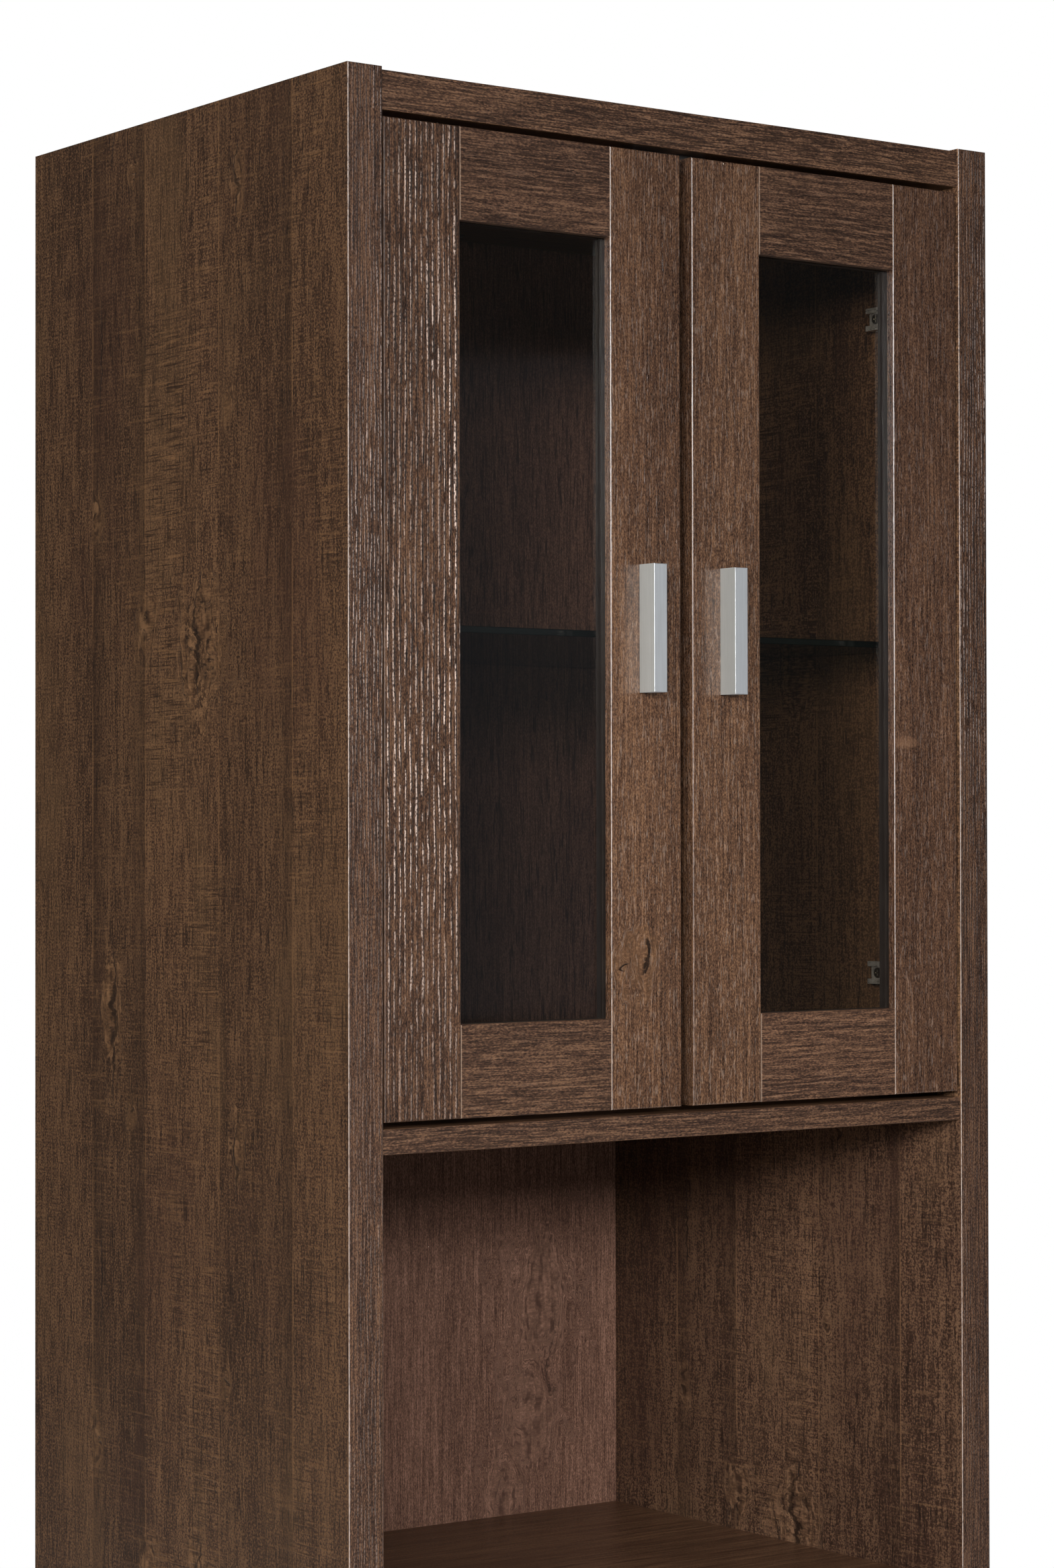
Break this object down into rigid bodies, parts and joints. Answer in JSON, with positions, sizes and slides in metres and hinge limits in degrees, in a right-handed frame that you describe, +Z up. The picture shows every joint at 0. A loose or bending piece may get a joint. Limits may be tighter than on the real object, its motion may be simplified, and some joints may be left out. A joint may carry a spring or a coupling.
{
  "type": "china cabinet",
  "caption": "Tall narrow china cabinet: framed glass doors with bar handles over a glass shelf, an open niche below them, and a cupboard with framed solid doors at the base.",
  "frame": {"origin": "on the floor, under the middle of the bounding box", "axes": "+X to the right seen from the front, +Y from the doors to the back, +Z up"},
  "size_m": [0.6, 0.466, 1.8],
  "materials": {
    "side_decor": "matt dark walnut decor, vertical grain with saw marks",
    "board_decor": "matt dark walnut decor, grain along the board",
    "stile_decor": "satin dark walnut decor, vertical embossed grain",
    "rail_decor": "satin dark walnut decor, horizontal grain",
    "panel_decor": "satin dark walnut decor, vertical grain",
    "back_panel_decor": "matt printed walnut decor on thin board",
    "pane_glass": "clear polished",
    "shelf_glass": "clear polished with green edges",
    "bead_plastic": "dark brown",
    "dark_plastic": "dark brown",
    "handle_aluminium": "satin anodised",
    "hinge_steel": "nickel plated",
    "fitting_steel": "zinc plated",
    "screw_steel": "zinc plated",
    "zinc": "die cast",
    "beech": "bare turned beech"
  },
  "bodies": {
    "carcass": {"side_panel_left": "side_decor", "side_panel_right": "side_decor", "top_panel": "board_decor", "display_floor": "board_decor", "niche_floor": "board_decor", "bottom_panel": "board_decor", "plinth_board": "board_decor", "lower_shelf": "board_decor", "back_panel_upper": "back_panel_decor", "back_panel_lower": "back_panel_decor", "glass_shelf": "shelf_glass", "shelf_pins": "fitting_steel", "hinge_plates": "hinge_steel", "hinge_arms": "hinge_steel", "fitting_screws": "screw_steel", "back_panel_screws": "screw_steel", "cam_locks": "zinc", "cam_bolts": "screw_steel", "dowels": "beech", "floor_glides": "dark_plastic", "wall_brackets": "fitting_steel", "door_stops": "dark_plastic"},
    "upper_left_door": {"upper_left_hinge_stile": "stile_decor", "upper_left_lock_stile": "stile_decor", "upper_left_top_rail": "rail_decor", "upper_left_bottom_rail": "rail_decor", "upper_left_glass": "pane_glass", "upper_left_glazing_beads": "bead_plastic", "upper_left_handle": "handle_aluminium", "upper_left_hinge_cups": "hinge_steel", "upper_left_hinge_pins": "screw_steel", "upper_left_door_screws": "screw_steel"},
    "upper_right_door": {"upper_right_hinge_stile": "stile_decor", "upper_right_lock_stile": "stile_decor", "upper_right_top_rail": "rail_decor", "upper_right_bottom_rail": "rail_decor", "upper_right_glass": "pane_glass", "upper_right_glazing_beads": "bead_plastic", "upper_right_handle": "handle_aluminium", "upper_right_hinge_cups": "hinge_steel", "upper_right_hinge_pins": "screw_steel", "upper_right_door_screws": "screw_steel"},
    "lower_left_door": {"lower_left_hinge_stile": "stile_decor", "lower_left_lock_stile": "stile_decor", "lower_left_top_rail": "rail_decor", "lower_left_bottom_rail": "rail_decor", "lower_left_panel": "panel_decor", "lower_left_handle": "handle_aluminium", "lower_left_hinge_cups": "hinge_steel", "lower_left_hinge_pins": "screw_steel", "lower_left_door_screws": "screw_steel"},
    "lower_right_door": {"lower_right_hinge_stile": "stile_decor", "lower_right_lock_stile": "stile_decor", "lower_right_top_rail": "rail_decor", "lower_right_bottom_rail": "rail_decor", "lower_right_panel": "panel_decor", "lower_right_handle": "handle_aluminium", "lower_right_hinge_cups": "hinge_steel", "lower_right_hinge_pins": "screw_steel", "lower_right_door_screws": "screw_steel"}
  },
  "joints": [
    {"name": "upper_left_door_hinge", "type": "hinge", "parent": "carcass", "child": "upper_left_door", "pos_m": [-0.249, -0.207, 1.414], "axis": [0, 0, -1], "range_deg": [0, 100]},
    {"name": "upper_right_door_hinge", "type": "hinge", "parent": "carcass", "child": "upper_right_door", "pos_m": [0.249, -0.207, 1.414], "axis": [0, 0, 1], "range_deg": [0, 100]},
    {"name": "lower_left_door_hinge", "type": "hinge", "parent": "carcass", "child": "lower_left_door", "pos_m": [-0.249, -0.207, 0.38], "axis": [0, 0, -1], "range_deg": [0, 100]},
    {"name": "lower_right_door_hinge", "type": "hinge", "parent": "carcass", "child": "lower_right_door", "pos_m": [0.249, -0.207, 0.38], "axis": [0, 0, 1], "range_deg": [0, 100]}
  ]
}
